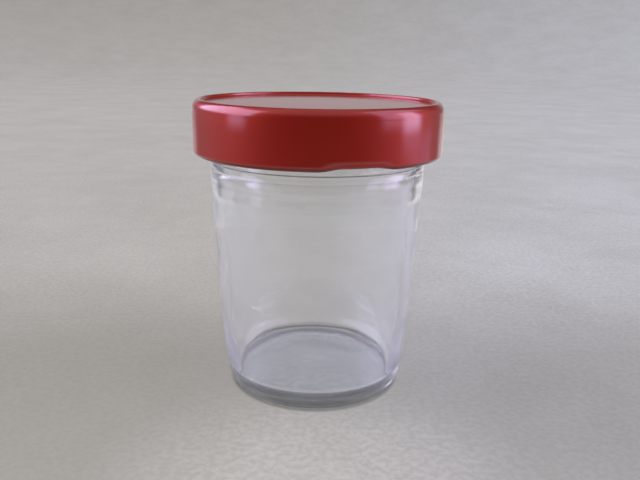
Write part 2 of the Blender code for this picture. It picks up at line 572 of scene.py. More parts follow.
@dataclass(frozen=True)
class ClearGlass:
    """Clear container glass: a faint grey-green body, slow ripples and a few handling marks.

    The film is the share of the glass that scatters light as a pale haze. The heel, the foot and
    the tight corner of the inner floor are darker with painted shade, a painted dark line in the
    corner.
    """

    tint: Triple = (0.995, 0.995, 0.98)
    tint_in_streaks: Triple = (0.97, 0.98, 0.965)
    streaks: Clouds = Clouds(9.0 * MM, 2.0, stretch=(1.0, 1.0, 0.35))
    index: float = 1.52
    ripples: Clouds = Clouds(7.0 * MM, 1.0, stretch=(1.0, 1.0, 0.5))
    ripple_depth: float = 0.03 * MM
    smears: Clouds = Clouds(4.0 * MM, 4.0, 0.6)
    smear_limits: Limits = (0.55, 0.8)
    smear_roughness: float = 0.03
    film: float = 0.065
    corner_name: str = "corner_distance"
    # Painted shade: a dark line painted along the tight corner of the inner floor
    corner_shade_tint: Triple = (0.20, 0.22, 0.25)
    corner_shade_reach: Limits = (0.12 * MM, 0.36 * MM)
    # Painted shade on the heel, where the glass looks dark
    heel_shade_tint: Triple = (0.50, 0.49, 0.47)
    heel_radius: Limits = (16.8 * MM, 17.4 * MM)
    heel_shade_top: Limits = (3.6 * MM, 4.4 * MM)
    # Painted shade along the foot, for the dark line where the jar meets the paper
    foot_shade_tint: Triple = (0.34, 0.35, 0.35)
    stipple_top: Limits = (0.5 * MM, 1.2 * MM)
    stipple_roughness: float = 0.15
    shadow_tint: Triple = (0.98, 0.985, 0.985)
    depth_colour: Triple = (0.62, 0.80, 0.76)
    depth_density: float = 4.0

    def material(self) -> bpy.types.Material:
        """Mixes the glass, which shadow rays and diffuse rays cross in straight lines.

        Returns:
            The material.
        """
        material, sheet = NodeSheet.of_material("jar_glass")
        place = sheet.place()
        along, away, height = sheet.split(place)
        # The stippled foot: rougher, and darker with painted shade where the jar meets the paper
        stippled_and_shaded = 1.0 - height.eased(*self.stipple_top)
        # Painted shade: the heel is darker
        heel = sheet.distance(along, away).eased(*self.heel_radius)
        heel = heel * (1.0 - height.eased(*self.heel_shade_top))
        # Painted shade line along the tight corner of the inner floor
        corner = 1.0 - sheet.attribute(self.corner_name).eased(*self.corner_shade_reach)
        colour = sheet.blend(sheet.noise(place, self.streaks), self.tint, self.tint_in_streaks)
        colour = sheet.blend(heel, colour, self.heel_shade_tint)
        colour = sheet.blend(stippled_and_shaded, colour, self.foot_shade_tint)
        smears = sheet.noise(place, self.smears).eased(*self.smear_limits)
        glass = sheet.principled(
            {
                "Base Color": sheet.blend(corner, colour, self.corner_shade_tint),
                "Roughness": smears * self.smear_roughness + stippled_and_shaded * self.stipple_roughness,
                "IOR": self.index,
                "Transmission Weight": 1.0 - self.film,
                "Normal": sheet.bump(sheet.noise(place, self.ripples), self.ripple_depth),
            }
        )
        through = sheet.clear(self.shadow_tint)
        surface = sheet.choose(sheet.ray("Is Diffuse Ray"), glass, through)
        surface = sheet.choose(sheet.ray("Is Shadow Ray"), surface, through)
        depth = {"Color": opaque(self.depth_colour), "Density": self.depth_density}
        sheet.finish(surface, sheet.node("ShaderNodeVolumeAbsorption", {}, depth))
        return material


@dataclass(frozen=True)
class RedLacquer:
    """Glossy red lacquer on tinplate, worn a little along the rim and the hem.

    The paler red along the rim and the hem is partly wear and partly a painted highlight, and
    painted shade darkens the bottom of the hem.
    """

    rim_height: float
    hem_height: float
    red: Triple = (0.41, 0.018, 0.007)
    deep_red: Triple = (0.35, 0.014, 0.006)
    # Painted shade at the bottom of the hem
    hem_shade_red: Triple = (0.17, 0.008, 0.005)
    hem_shade_reach: Limits = (0.9 * MM, 0.3 * MM)
    # Paler red along the rim and the hem: partly wear, partly a painted highlight
    worn_and_highlight_red: Triple = (0.62, 0.10, 0.08)
    worn_and_highlight_share: float = 0.5
    clouds: Clouds = Clouds(14.0 * MM, 3.0)
    metallic: float = 0.35
    specular: float = 0.08
    roughness: float = 0.42
    cloud_roughness: float = 0.05
    worn_roughness: float = 0.16
    wear_band: float = 0.45 * MM
    wear_fade: Limits = (0.2, 1.0)
    hem_wear: float = 0.5
    wear: Clouds = Clouds(1.1 * MM, 4.0, 0.65)
    wear_limits: Limits = (0.58, 0.72)
    peel: Clouds = Clouds(0.9 * MM, 2.0)
    peel_depth: float = 0.0022 * MM
    dents: Clouds = Clouds(11.0 * MM, 1.0)
    dent_depth: float = 0.03 * MM
    coat_index: float = 1.54
    coat_roughness: float = 0.12
    worn_coat: float = 0.6

    def near_edge(self, height: Wire, edge: float) -> Wire:
        """Returns how near a height is to an edge of the cap, as 1 on the edge."""
        return 1.0 - (abs(height - edge) / self.wear_band).eased(*self.wear_fade)

    def material(self) -> bpy.types.Material:
        """Mixes the lacquer.

        Returns:
            The material.
        """
        material, sheet = NodeSheet.of_material("cap_lacquer")
        place = sheet.place()
        height = sheet.split(place)[2]
        clouds = sheet.noise(place, self.clouds)
        edges = self.near_edge(height, self.rim_height)
        edges = edges + self.near_edge(height, self.hem_height) * self.hem_wear
        # Worn edges: partly wear, partly a painted highlight along the rim and the hem
        rubbed_and_highlit = edges * sheet.noise(place, self.wear).eased(*self.wear_limits)
        peel = sheet.bump(sheet.noise(place, self.peel), self.peel_depth)
        lacquer = sheet.blend(clouds, self.red, self.deep_red)
        # Painted shade: the red darkens towards the bottom of the hem, where its underside lies in
        # shadow
        hem_shade = (height - self.hem_height).eased(*self.hem_shade_reach)
        lacquer = sheet.blend(hem_shade, lacquer, self.hem_shade_red)
        roughness = self.roughness + clouds * self.cloud_roughness + rubbed_and_highlit * self.worn_roughness
        surface = sheet.principled(
            {
                "Base Color": sheet.blend(rubbed_and_highlit * self.worn_and_highlight_share, lacquer, self.worn_and_highlight_red),
                "Metallic": self.metallic,
                "Roughness": roughness,
                "Coat Weight": 1.0 - rubbed_and_highlit * self.worn_coat,
                "Coat Roughness": self.coat_roughness,
                "Coat IOR": self.coat_index,
                "Specular IOR Level": self.specular,
                "Normal": sheet.bump(sheet.noise(place, self.dents), self.dent_depth, peel),
            }
        )
        sheet.finish(surface)
        return material


@dataclass(frozen=True)
class PaleEnamel:
    """The pale baked enamel on the inside of the cap."""

    pale: Triple = (0.44, 0.40, 0.34)
    shade: Triple = (0.38, 0.34, 0.29)
    clouds: Clouds = Clouds(6.0 * MM, 4.0)
    roughness: float = 0.3
    cloud_roughness: float = 0.1
    coat: float = 0.4
    coat_roughness: float = 0.15
    peel: Clouds = Clouds(0.8 * MM, 2.0)
    peel_depth: float = 0.004 * MM

    def material(self) -> bpy.types.Material:
        """Mixes the enamel.

        Returns:
            The material.
        """
        material, sheet = NodeSheet.of_material("cap_enamel")
        place = sheet.place()
        clouds = sheet.noise(place, self.clouds)
        surface = sheet.principled(
            {
                "Base Color": sheet.blend(clouds, self.pale, self.shade),
                "Roughness": self.roughness + clouds * self.cloud_roughness,
                "Coat Weight": self.coat,
                "Coat Roughness": self.coat_roughness,
                "Normal": sheet.bump(sheet.noise(place, self.peel), self.peel_depth),
            }
        )
        sheet.finish(surface)
        return material


@dataclass(frozen=True)
class SealingCompound:
    """The soft matt compound that seals the lip, with a fine pitted skin."""

    pale: Triple = (0.74, 0.72, 0.67)
    shade: Triple = (0.62, 0.60, 0.55)
    clouds: Clouds = Clouds(3.0 * MM, 3.0)
    pits: Clouds = Clouds(0.35 * MM, 2.0)
    pit_depth: float = 0.012 * MM
    roughness: float = 0.5
    pit_roughness: float = 0.2

    def material(self) -> bpy.types.Material:
        """Mixes the compound.

        Returns:
            The material.
        """
        material, sheet = NodeSheet.of_material("seal_compound")
        place = sheet.place()
        pits = sheet.noise(place, self.pits)
        surface = sheet.principled(
            {
                "Base Color": sheet.blend(sheet.noise(place, self.clouds), self.pale, self.shade),
                "Roughness": self.roughness + pits * self.pit_roughness,
                "Normal": sheet.bump(pits, self.pit_depth),
            }
        )
        sheet.finish(surface)
        return material


@dataclass(frozen=True)
class StudioPaper:
    """The plain pale mottled paper that the jar stands on.

    Light and shade are painted into its tone: painted shadow beside the jar, a painted pool of light
    in front of it, painted bluish light towards the right and painted shade far away. Under the jar
    it is brighter with painted light, for the light that the glass gathers there, and a painted ring
    of shade runs round the jar's foot.
    """

    name: str
    far: bool
    pale: Triple = (0.555, 0.55, 0.385)
    shade: Triple = (0.36, 0.355, 0.24)
    # Painted shadow beside the jar, where its shadows fall to the sides
    near: Triple = (0.45, 0.435, 0.298)
    # Painted pool of light in front of the jar
    front: Triple = (0.62, 0.60, 0.425)
    # Painted bluish light towards the right
    right_light_gain: Triple = (1.11, 1.14, 1.31)
    right_light_turn: Limits = (-0.15, 0.5)
    turn_centre: float = 60.0 * MM
    # Painted pool of the light that the glass gathers under the jar
    under_light_gain: Triple = (1.9, 2.02, 2.25)
    under_light_reach: Limits = (17.4 * MM, 16.5 * MM)
    # Painted ring of shade round the jar's foot
    ring_shade_gain: Triple = (0.40, 0.40, 0.40)
    ring_shade_middle: float = 17.6 * MM
    ring_shade_reach: Limits = (1.3 * MM, 0.3 * MM)
    # Painted shade: darker far away
    far_shade_gain: Triple = (0.86, 0.86, 0.87)
    far_shade_reach: Limits = (0.4, 2.0)
    near_shade_reach: Limits = (80.0 * MM, -4.0 * MM)
    front_glow_middle: Point = (0.0, -44.0 * MM)
    front_glow_reach: Limits = (44.0 * MM, 12.0 * MM)
    clouds: Clouds = Clouds(60.0 * MM, 9.0, 0.78)
    flecks: Clouds = Clouds(1.3 * MM, 3.0)
    mottle_limits: Limits = (0.35, 0.65)
    mottling: float = 0.55
    roughness: float = 0.9
    specular: float = 0.2
    mirror_depth: Limits = (0.2, 0.8)

    def tone(self, sheet: NodeSheet, place: Wire) -> Wire:
        """Works out the paper's colour, with painted light and shade in it.

        Args:
            sheet: The material's node tree.
            place: Where the colour is read.

        Returns:
            The colour, before it is mottled.
        """
        along, away, _ = sheet.split(place)
        from_axis = sheet.distance(along, away)
        from_front_glow = sheet.distance(along - self.front_glow_middle[0], away - self.front_glow_middle[1])
        # Painted shadow: darker from just behind the jar towards the front, for the jar's shadows at
        # its sides
        tone = sheet.blend(away.eased(*self.near_shade_reach), self.pale, self.near)
        # Painted pool of light in front of the jar, which the glass throws there
        tone = sheet.blend(from_front_glow.eased(*self.front_glow_reach), tone, self.front)
        turn = along / (from_axis + self.turn_centre)
        from_ring = abs(from_axis - self.ring_shade_middle)
        for share, gain in (
            # Painted bluish light towards the right
            (turn.eased(*self.right_light_turn), self.right_light_gain),
            # Painted light under the jar
            (from_axis.eased(*self.under_light_reach), self.under_light_gain),
            # Painted shade far away
            (from_axis.eased(*self.far_shade_reach), self.far_shade_gain),
            # Painted ring of shade round the jar's foot
            (from_ring.eased(*self.ring_shade_reach), self.ring_shade_gain),
        ):
            tone = sheet.blend(share, tone, sheet.stretched(tone, gain))
        return tone

    def material(self) -> bpy.types.Material:
        """Mixes the paper; far paper gives way to the room's light in reflections.

        Returns:
            The material.
        """
        material, sheet = NodeSheet.of_material(self.name)
        place = sheet.place()
        clouds = sheet.noise(place, self.clouds).eased(*self.mottle_limits)
        flecks = sheet.noise(place, self.flecks).eased(*self.mottle_limits)
        mottle = (clouds + flecks) * 0.5 * self.mottling
        surface = sheet.principled(
            {
                "Base Color": sheet.blend(mottle, self.tone(sheet, place), self.shade),
                "Roughness": self.roughness,
                "Specular IOR Level": self.specular,
            }
        )
        if self.far:
            reflected = sheet.ray("Glossy Depth").eased(*self.mirror_depth)
            surface = sheet.choose(reflected, surface, sheet.clear((1.0, 1.0, 1.0)))
        sheet.finish(surface)
        return material


@dataclass
class ThreadRidge:
    """One right-hand ridge of the jar's interrupted thread: a sloping rod with thin ends."""

    radius: float = 22.3 * MM
    low: float = 53.7 * MM
    high: float = 55.6 * MM
    sweep: float = math.radians(96)
    thickness: float = 1.1 * MM
    end_share: float = 0.45
    taper: float = 0.125
    sides: int = 12
    steps: int = 32

    def fullness(self, share: float) -> float:
        """Returns how thick the ridge is at a share of its length, from the end share to 1."""
        eased = smoothstep(min(share, 1.0 - share) / self.taper)
        return self.end_share + (1.0 - self.end_share) * eased

    def build(self) -> Piece:
        """Sweeps a small disc round the jar.

        Returns:
            The ridge, closed at both ends, starting over the +X axis.
        """
        ridge = Piece.added(
            "thread_ridge",
            bpy.ops.mesh.primitive_circle_add,
            vertices=self.sides,
            radius=self.thickness * self.fullness(0.0),
            fill_type="NGON",
            location=(self.radius, 0.0, self.low),
            rotation=(math.radians(90), 0.0, 0.0),
        )
        rise = (self.high - self.low) / self.steps
        with ridge.editing():
            for step in range(1, self.steps + 1):
                share = step / self.steps
                angle = self.sweep * share
                height = self.low + rise * step
                growth = self.fullness(share) / self.fullness(share - 1.0 / self.steps)
                bpy.ops.mesh.extrude_region_move(TRANSFORM_OT_translate={"value": (0.0, 0.0, rise)})
                bpy.ops.transform.rotate(
                    value=-self.sweep / self.steps, orient_axis="Z", center_override=(0.0, 0.0, 0.0)
                )
                centre = (self.radius * math.cos(angle), self.radius * math.sin(angle), height)
                bpy.ops.transform.resize(value=(growth, growth, growth), center_override=centre)
            bpy.ops.mesh.select_all(action="SELECT")
            bpy.ops.mesh.normals_make_consistent(inside=False)
        return ridge

    def copies(self, count: int, start: float) -> list[Piece]:
        """Models the ridge once and copies it round the jar.

        Args:
            count: How many ridges there are.
            start: Azimuth of the first one's low end, in radians.

        Returns:
            The ridges, each with its own mesh.
        """
        first = self.build()
        made = []
        for index in range(count):
            item = first.item.copy()
            item.data = first.item.data.copy()
            bpy.context.collection.objects.link(item)
            item.data.transform(Matrix.Rotation(start + math.tau * index / count, 4, "Z"))
            made.append(Piece(item))
        bpy.data.objects.remove(first.item, do_unlink=True)
        return made


@dataclass(frozen=True)
class JarSpans:
    """How many straight spans each stretch of the jar's profile is drawn with."""

    floor: int = 14
    fillet: int = 12
    wall: int = 60
    lip: int = 8
    finish: int = 8
    bead_top: int = 6
    bead_bottom: int = 8
    ledge: int = 12
    body: int = 30
    heel: int = 48
    foot: int = 5
    push_up: int = 16


@dataclass
class GlassJar:
    """The jar: one turned piece of glass with threads, mould seams and a knurled foot.

    The foot is the ring that it stands on, the heel is the rounding above it, and the finish is
    the upright part under the cap, above a bead.
    """

    lip_height: float
    spans_round: int = 360
    spans: JarSpans = JarSpans()
    foot_radius: float = 16.9 * MM
    foot_width: float = 1.7 * MM
    heel_radius: float = 19.1 * MM
    heel_height: float = 4.2 * MM
    heel_seam: Point = (19.15 * MM, 4.6 * MM)
    heel_rings: tuple[float, ...] = (1.35 * MM, 2.75 * MM)
    heel_ring_size: float = 0.07 * MM
    heel_ring_width: float = 0.2 * MM
    push_up_height: float = 0.6 * MM
    floor_height: float = 3.4 * MM
    floor_edge_rise: float = 0.35 * MM
    floor_fillet: float = 0.25 * MM
    wall: float = 2.1 * MM
    bore_blend: float = 12.0 * MM
    body_start: Point = (19.45 * MM, 5.0 * MM)
    body_end: Point = (21.62 * MM, 41.0 * MM)
    body_bulge: float = 0.68
    neck: Point = (21.92 * MM, 44.5 * MM)
    neck_seam_height: float = 46.9 * MM
    neck_seam_size: float = 0.035 * MM
    bead_radius: float = 22.4 * MM
    bead_bottom: float = 48.3 * MM
    bead_top: float = 51.2 * MM
    bead_round: float = 0.45 * MM
    bead_angles: Limits = (60.0, -80.0)
    finish_radius: float = 22.1 * MM
    bore_radius: float = 19.9 * MM
    lip_round: float = 0.7 * MM
    thread_count: int = 3
    thread_start: float = math.radians(-98.8)
    thread: ThreadRidge = field(default_factory=ThreadRidge)
    knurl_depth: float = 0.14 * MM
    knurl_edge: float = 0.3 * MM
    mould_seam_size: float = 0.05 * MM
    squareness: float = 0.8 * MM
    square_corners: int = 4
    square_reach: Limits = (4 / 15, 14 / 15)
    square_fades_at: float = 14.0 * MM
    wave_size: float = 13.0 * MM
    wave_depth: float = 0.22 * MM
    crease: float = math.radians(40)
    clear_glass: ClearGlass = ClearGlass()

    def body_radius(self, height: float) -> float:
        """Works out the outer radius of the tapered body, which swells between its ends.

        Args:
            height: Height above the ground.

        Returns:
            The radius.
        """
        (low_radius, low), (high_radius, high) = self.body_start, self.body_end
        share = max(height - low, 0.0) / (high - low)
        return low_radius + (high_radius - low_radius) * share**self.body_bulge

    def inner_radius(self, height: float) -> float:
        """Works out the inner radius, which goes over from the wall to the upright bore.

        Args:
            height: Height above the ground, above the corner of the floor.

        Returns:
            The radius.
        """
        wall_line = self.body_radius(height) - self.wall
        to_bore = smoothstep((height - self.body_end[1]) / self.bore_blend + 0.5)
        return wall_line + (self.bore_radius - wall_line) * to_bore

    def inside(self) -> list[Point]:
        """Draws the profile of the inside.

        Returns:
            Its points, from the middle of the floor up to the lip.
        """
        spans = self.spans
        fillet = self.floor_fillet
        corner_height = self.floor_height + self.floor_edge_rise + fillet
        corner = (self.inner_radius(corner_height) - fillet, corner_height)
        points = []
        for share in spaced(0.0, 1.0, spans.floor)[:-1]:
            points.append((corner[0] * share, self.floor_height + self.floor_edge_rise * share**2))
        points += arc(corner, (fillet, fillet), -90, 0, spans.fillet)
        lip = (self.bore_radius + self.lip_round, self.lip_height - self.lip_round)
        for height in spaced(corner_height, lip[1], spans.wall)[1:-1]:
            points.append((self.inner_radius(height), height))
        points += arc(lip, (self.lip_round, self.lip_round), 180, 90, spans.lip)
        return points

    def outside(self) -> list[Point]:
        """Draws the profile of the outside.

        Returns:
            Its points, from the lip down to the middle of the underside.
        """
        spans = self.spans
        lip = (self.finish_radius - self.lip_round, self.lip_height - self.lip_round)
        points = arc(lip, (self.lip_round, self.lip_round), 90, 0, spans.lip)
        for height in spaced(lip[1], self.bead_top, spans.finish)[1:]:
            points.append((self.finish_radius, height))
        edge = self.bead_radius - self.bead_round
        size = (self.bead_round, self.bead_round)
        top, bottom = self.bead_top - self.bead_round, self.bead_bottom + self.bead_round
        points += arc((edge, top), size, self.bead_angles[0], 0, spans.bead_top)
        points += arc((edge, bottom), size, 0, self.bead_angles[1], spans.bead_bottom)
        points += self.neck_surface()
        for height in reversed(spaced(self.body_start[1], self.body_end[1], spans.body)):
            points.append((self.body_radius(height), height))
        points += [self.heel_seam]
        centre = (self.foot_radius, self.heel_height)
        heel = (self.heel_radius - self.foot_radius, self.heel_height)
        for radius, height in arc(centre, heel, 0, -90, spans.heel):
            points.append((radius + self.heel_ring(height), height))
        points += self.underside()
        return points

    def heel_ring(self, height: float) -> float:
        """Returns how far the fine rings that the mould left on the heel stand out."""
        steps = [(height - middle) / self.heel_ring_width for middle in self.heel_rings]
        return self.heel_ring_size * sum(math.exp(-step * step) for step in steps)

    def neck_surface(self) -> list[Point]:
        """Draws the neck's profile, with its fine seam ridge and the ledge below it.

        Returns:
            Its points, from the bead down to just above the top of the body.
        """
        radius, bottom = self.neck
        size = self.neck_seam_size
        middle = self.neck_seam_height
        points = [(radius, self.bead_bottom - size), (radius, middle + 2 * size)]
        points += [(radius + size, middle + size / 2), (radius + size, middle - size / 2)]
        points += [(radius, middle - 2 * size)]
        ledge, ledge_height = self.body_end
        for height in reversed(spaced(ledge_height, bottom, self.spans.ledge)[1:]):
            rise = smoothstep((height - ledge_height) / (bottom - ledge_height))
            points.append((ledge + (radius - ledge) * rise, height))
        return points

    def underside(self) -> list[Point]:
        """Draws the profile of the bearing ring and the push-up inside it.

        Returns:
            Its points, from the ring's outer edge to the axis.
        """
        inner = self.foot_radius - self.foot_width
        ring = spaced(self.foot_radius, inner, self.spans.foot)[1:]
        points = [(radius, 0.0) for radius in ring]
        for share in spaced(1.0, 0.0, self.spans.push_up)[1:]:
            points.append((inner * share, self.push_up_height * (1.0 - share**2) ** 2))
        return points

    def add_threads(self, glass: Piece) -> None:
        """Fuses the thread ridges onto the finish.

        Args:
            glass: The turned glass.
        """
        for ridge in self.thread.copies(self.thread_count, self.thread_start):
            glass.modify("BOOLEAN", operation="UNION", solver="EXACT", object=ridge.item)
            bpy.data.objects.remove(ridge.item, do_unlink=True)

    def corner_distance(self, place: Vector) -> float:
        """Measures how far a place lies from the corner of the inner floor.

        Args:
            place: A place on the glass.

        Returns:
            The distance across the profile.
        """
        height = self.floor_height + self.floor_edge_rise + self.floor_fillet
        bend = self.floor_fillet * math.sqrt(0.5)
        middle = self.inner_radius(height) - self.floor_fillet + bend
        return math.hypot(radius_of(place) - middle, place.z - height + bend)

    def knurl(self, glass: Piece) -> int:
        """Raises every other column of the bearing ring.

        Args:
            glass: The turned glass.

        Returns:
            How many vertices moved.
        """
        inner = self.foot_radius - self.foot_width + self.knurl_edge / 2
        outer = self.foot_radius + self.knurl_edge
        column = math.tau / self.spans_round

        def on_a_groove(place: Vector) -> bool:
            """Says whether a place is in one of the grooves between the ribs.

            Args:
                place: A place on the glass.

            Returns:
                Whether it is.
            """
            if place.z > self.knurl_depth or not inner < radius_of(place) < outer:
                return False
            return round(azimuth(place) / column) % 2 == 1

        return glass.shift(on_a_groove, (0.0, 0.0, self.knurl_depth))

    def raise_mould_seams(self, glass: Piece) -> None:
        """Pulls out the two upright lines where the halves of the mould met.

        Args:
            glass: The turned glass.
        """
        for side in Side:

            def on_the_seam(place: Vector, side: Side = side) -> bool:
                """Says whether a place of the outer wall is on a seam.

                Args:
                    place: A place on the glass.
                    side: The side of the jar that the seam is on.

                Returns:
                    Whether it is.
                """
                outer_wall = self.body_radius(place.z) - self.wall / 2
                level = self.heel_seam[1] < place.z < self.bead_bottom
                beside = abs(place.y) < self.mould_seam_size
                return level and beside and place.x * side.value > outer_wall

            glass.shift(on_the_seam, (self.mould_seam_size * side.value, 0.0, 0.0))

    def is_inner(self, place: Vector) -> bool:
        """Says whether a place is on the inner wall or the inner floor.

        Args:
            place: A place on the glass.

        Returns:
            Whether it is.
        """
        if place.z < self.floor_height - self.floor_edge_rise:
            return False
        return radius_of(place) < self.body_radius(place.z) - self.wall / 2

    def square_the_floor(self, glass: Piece) -> None:
        """Makes the foot of the inner wall a little square, as the glass settled in the mould.

        Args:
            glass: The turned glass.
        """
        low, high = self.square_reach

        def settled(place: Vector) -> Vector:
            """Works out where a place of the inner wall settled.

            Args:
                place: Its place on the turned glass.

            Returns:
                Its new place.
            """
            if not self.is_inner(place):
                return place
            fade = 1.0 - smoothstep((place.z - self.floor_height) / self.square_fades_at)
            radius = radius_of(place)
            towards_wall = smoothstep((radius / self.foot_radius - low) / (high - low))
            turn = self.square_corners * azimuth(place)
            wave = -math.cos(turn) * self.squareness * fade * towards_wall
            scale = 1.0 + wave / max(radius, MM)
            return Vector((place.x * scale, place.y * scale, place.z))

        glass.reshape(settled)

    def wave_the_wall(self, glass: Piece) -> None:
        """Lets the inner wall wander, as pressed and blown glass does.

        Args:
            glass: The turned glass.
        """
        clouds = bpy.data.textures.new("wall_waves", "CLOUDS")
        clouds.noise_scale = self.wave_size
        clouds.noise_depth = 1

        def inner_weight(place: Vector) -> float:
            """Returns how much a place follows the waves: fully low down, not in the neck."""
            below_neck = smoothstep((self.body_end[1] - place.z) / self.wave_size)
            return below_neck if self.is_inner(place) else 0.0

        group = glass.weigh("inner_wall", inner_weight)
        glass.modify(
            "DISPLACE",
            texture=clouds,
            texture_coords="LOCAL",
            direction="NORMAL",
            strength=self.wave_depth,
            mid_level=0.5,
            vertex_group=group,
        )

    def build(self) -> Piece:
        """Models and dresses the jar.

        Returns:
            The finished piece.
        """
        glass = Piece.turned("glass_jar", self.inside() + self.outside(), self.spans_round)
        self.add_threads(glass)
        # Stores the distance from the floor's corner, which the glass's painted shade line follows
        glass.mark(self.clear_glass.corner_name, self.corner_distance)
        grooves = self.knurl(glass)
        self.raise_mould_seams(glass)
        self.square_the_floor(glass)
        self.wave_the_wall(glass)
        glass.smooth(self.crease)
        glass.dress(self.clear_glass.material())
        glass.stand_for("jar", Slot.CLEAR_GLASS)
        LOG.info("glass_jar: %d faces, %d knurl vertices", len(glass.item.data.polygons), grooves)
        return glass


@dataclass
class TwistOffCap:
    """The cap: a drawn shell of lacquered tinplate whose curled hem is crimped into lugs."""

    radius: float
    top: float
    bottom: float
    spans_round: int = 288
    panel_spans: int = 16
    step_spans: int = 6
    shoulder_spans: int = 16
    skirt_spans: int = 24
    curl_spans: int = 20
    metal: float = 0.25 * MM
    shoulder: Point = (1.3 * MM, 1.9 * MM)
    skirt_swell: float = 0.12 * MM
    skirt_swell_from: float = 55.5 * MM
    crest_width: float = 0.15 * MM
    panel_drop: float = 0.65 * MM
    panel_step_round: float = 0.34 * MM
    panel_crown: float = 0.1 * MM
    curl_round: float = 0.8 * MM
    curl_turn: float = 235.0
    lug_count: int = 3
    lug_centre: float = math.radians(-72)
    lug_half_flat: float = math.radians(7)
    lug_half_width: float = math.radians(17.5)
    lug_dent: float = 0.2 * MM
    lug_reach: float = 1.1 * MM
    lug_lift: float = 0.45 * MM
    lug_top: float = 51.6 * MM
    crease: float = math.radians(50)

    def surface(self) -> list[Point]:
        """Draws the profile of the outer face.

        Returns:
            Its points, from the panel's middle to the end of the curl.
        """
        panel = self.top - self.panel_drop
        crest_outer = self.radius - self.skirt_swell - self.shoulder[0]
        crest_inner = crest_outer - self.crest_width
        step = self.panel_step_round
        edge = crest_inner - 2 * step
        points = []
        for share in spaced(0.0, 1.0, self.panel_spans)[:-1]:
            points.append((edge * share, panel + self.panel_crown * (1.0 - share**2)))
        points += arc((edge, panel + step), (step, step), -90, 0, self.step_spans)
        points += arc((crest_inner, self.top - step), (step, step), 180, 90, self.step_spans)
        skirt_top = self.top - self.shoulder[1]
        points += arc((crest_outer, skirt_top), self.shoulder, 90, 0, self.shoulder_spans)
        curl = (self.curl_round, self.curl_round)
        centre = (self.radius - self.curl_round, self.bottom + self.curl_round)
        for height in spaced(skirt_top, centre[1], self.skirt_spans)[1:-1]:
            rise = max(height - self.skirt_swell_from, 0.0) / (skirt_top - self.skirt_swell_from)
            points.append((self.radius - self.skirt_swell * rise**2, height))
        points += arc(centre, curl, 0, -self.curl_turn, self.curl_spans)
        return points

    def lug_share(self, angle: float) -> float:
        """Works out how far the hem is crimped.

        Args:
            angle: Azimuth on the cap, in radians.

        Returns:
            From 0 between the lugs to 1 on one.
        """
        pitch = math.tau / self.lug_count
        offset = abs((angle - self.lug_centre + pitch / 2) % pitch - pitch / 2)
        return smoothstep((self.lug_half_width - offset) / (self.lug_half_width - self.lug_half_flat))

    def crimped(self, place: Vector) -> Vector:
        """Works out where a place of the shell goes when the lugs are pressed in.

        Args:
            place: Its place on the turned shell.

        Returns:
            Its new place.
        """
        if place.z > self.lug_top:
            return place
        radius = radius_of(place)
        depth = smoothstep((self.lug_top - place.z) / (self.lug_top - self.bottom))
        if radius < self.radius - self.curl_round:
            depth = 1.0
        share = depth * self.lug_share(azimuth(place))
        inwards = smoothstep((self.radius - radius) / (2.0 * self.curl_round))
        push = self.lug_dent + (self.lug_reach - self.lug_dent) * inwards
        scale = 1.0 - push * share / radius
        return Vector((place.x * scale, place.y * scale, place.z + self.lug_lift * share))

    def build(self) -> Piece:
        """Models and dresses the cap.

        Returns:
            The finished piece.
        """
        shell = Piece.turned("cap_shell", self.surface(), self.spans_round)
        shell.reshape(self.crimped)
        lacquer = RedLacquer(rim_height=self.top, hem_height=self.bottom)
        shell.dress(lacquer.material(), PaleEnamel().material())
        shell.modify(
            "SOLIDIFY",
            thickness=self.metal,
            offset=-1.0,
            use_even_offset=True,
            material_offset=1,
        )
        shell.smooth(self.crease)
        shell.stand_for("cap", Slot.RED_LACQUER)
        LOG.info("cap_shell: %d faces", len(shell.item.data.polygons))
        return shell


@dataclass
class SealingRing:
    """The ring of compound that was poured into the cap's channel."""

    outer: float
    bottom: float
    top: float
    inner: float = 19.4 * MM
    spans_round: int = 240
    face_spans: int = 8
    edge_spans: int = 5
    rounding: float = 0.2 * MM
    crease: float = math.radians(50)

    def section(self) -> list[Point]:
        """Draws the ring's closed section.

        Returns:
            Its points, the last of them where the first is.
        """
        size = (self.rounding, self.rounding)
        outer, inner = self.outer - self.rounding, self.inner + self.rounding
        low, high = self.bottom + self.rounding, self.top - self.rounding
        across = spaced(outer, inner, self.face_spans)
        points = arc((outer, high), size, 90, 0, self.edge_spans)
        points += arc((outer, low), size, 0, -90, self.edge_spans)
        points += [(radius, self.bottom) for radius in across[1:-1]]
        points += arc((inner, low), size, -90, -180, self.edge_spans)
        points += arc((inner, high), size, 180, 90, self.edge_spans)
        points += [(radius, self.top) for radius in reversed(across[:-1])]
        return points

    def build(self) -> Piece:
        """Models and dresses the ring.

        Returns:
            The finished piece.
        """
        ring = Piece.turned("sealing_ring", self.section(), self.spans_round)
        ring.smooth(self.crease)
        ring.dress(SealingCompound().material())
        ring.stand_for("cap_liner", Slot.SEALING_COMPOUND)
        LOG.info("sealing_ring: %d faces", len(ring.item.data.polygons))
        return ring


@dataclass(frozen=True)
class SoftBox:
    """A large soft light far off, as the patch of directions that it fills, in degrees.

    Bearings are counted from the camera's side of the jar towards +X, and rises from level.
    """

    name: str
    bearings: Limits
    rises: Limits
    radiance: float
    colour: Triple
    edge: float = 5.0

    def added_to(self, air: Wire, bearing: Wire, rise: Wire) -> Wire:
        """Puts the light into the room's.

        Args:
            air: The colour of the light so far.
            bearing: Each direction's bearing.
            rise: How far each direction rises.

        Returns:
            The colour with this light in it.
        """
        share: Wire | float = 1.0
        for value, (low, high) in ((bearing, self.bearings), (rise, self.rises)):
            share = value.eased(low - self.edge, low + self.edge) * share
            share = share * (1.0 - value.eased(high - self.edge, high + self.edge))
        light = tuple(self.radiance * part for part in self.colour)
        return air.sheet.blend(share, air, light)


